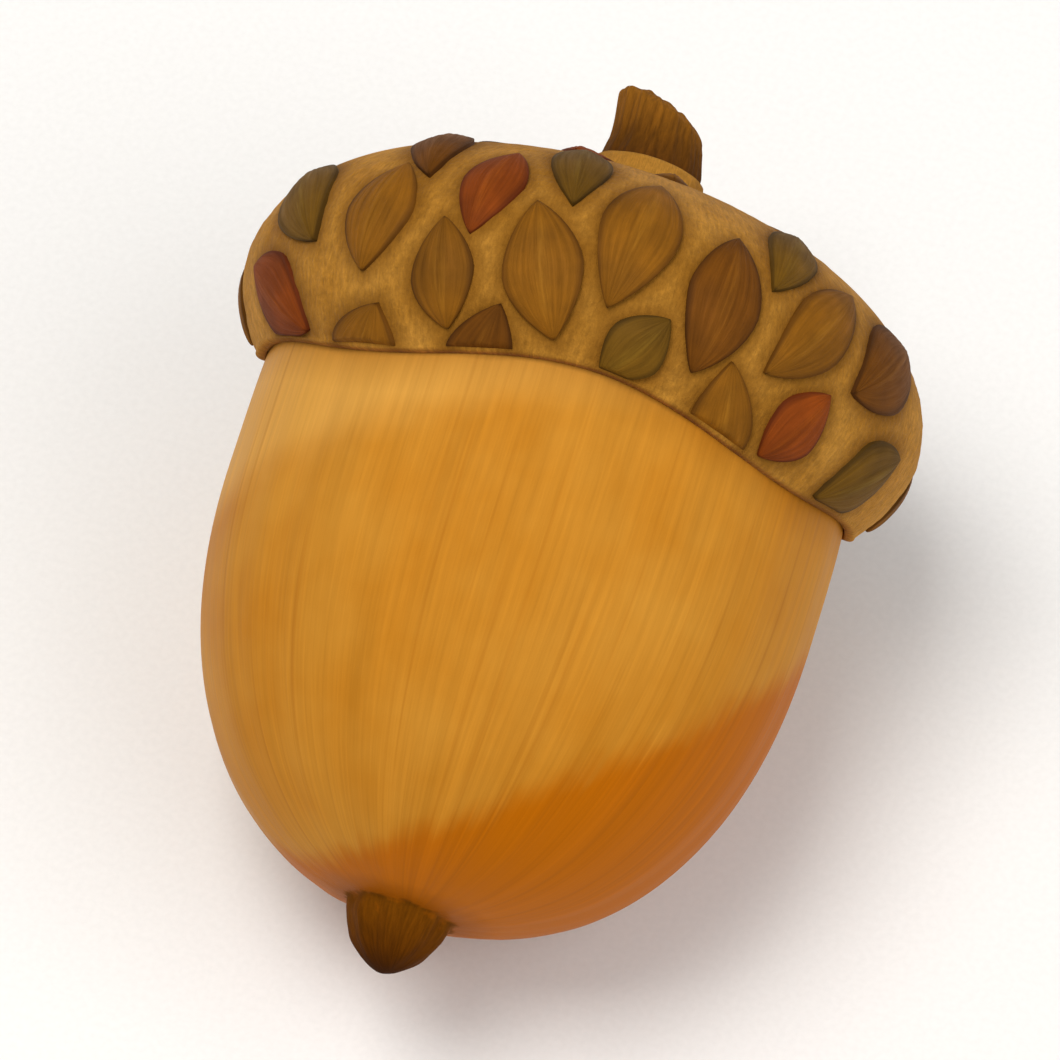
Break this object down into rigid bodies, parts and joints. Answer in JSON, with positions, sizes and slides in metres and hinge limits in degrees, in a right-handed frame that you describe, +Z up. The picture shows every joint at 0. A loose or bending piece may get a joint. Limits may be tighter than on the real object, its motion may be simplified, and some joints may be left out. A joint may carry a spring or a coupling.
{
  "type": "acorn",
  "caption": "Whole acorn as picked, lying on its side: a smooth nut with a pointed tip, seated in a scaly cap that keeps the stub of its stalk",
  "frame": {"origin": "middle of the bounding box in plan, on the surface that the acorn lies on", "axes": "+Z up; the acorn's length runs along Y in plan, with the nut's pointed tip towards -Y and the stalk towards +Y; X across"},
  "size_m": [0.0258, 0.0338, 0.0253],
  "materials": {
    "shell": "smooth waxy nutshell, golden brown with faint lengthwise streaks, paler near the cap and dark at the rough pointed tip",
    "cap": "dry matt cup, felted ochre ground with raised keeled scales in brown, dark brown, olive and rust",
    "stalk": "fibrous woody stalk stub with a worn broken end"
  },
  "bodies": {
    "root": {"nut": "shell", "cap": "cap", "stalk": "stalk"}
  },
  "joints": []
}
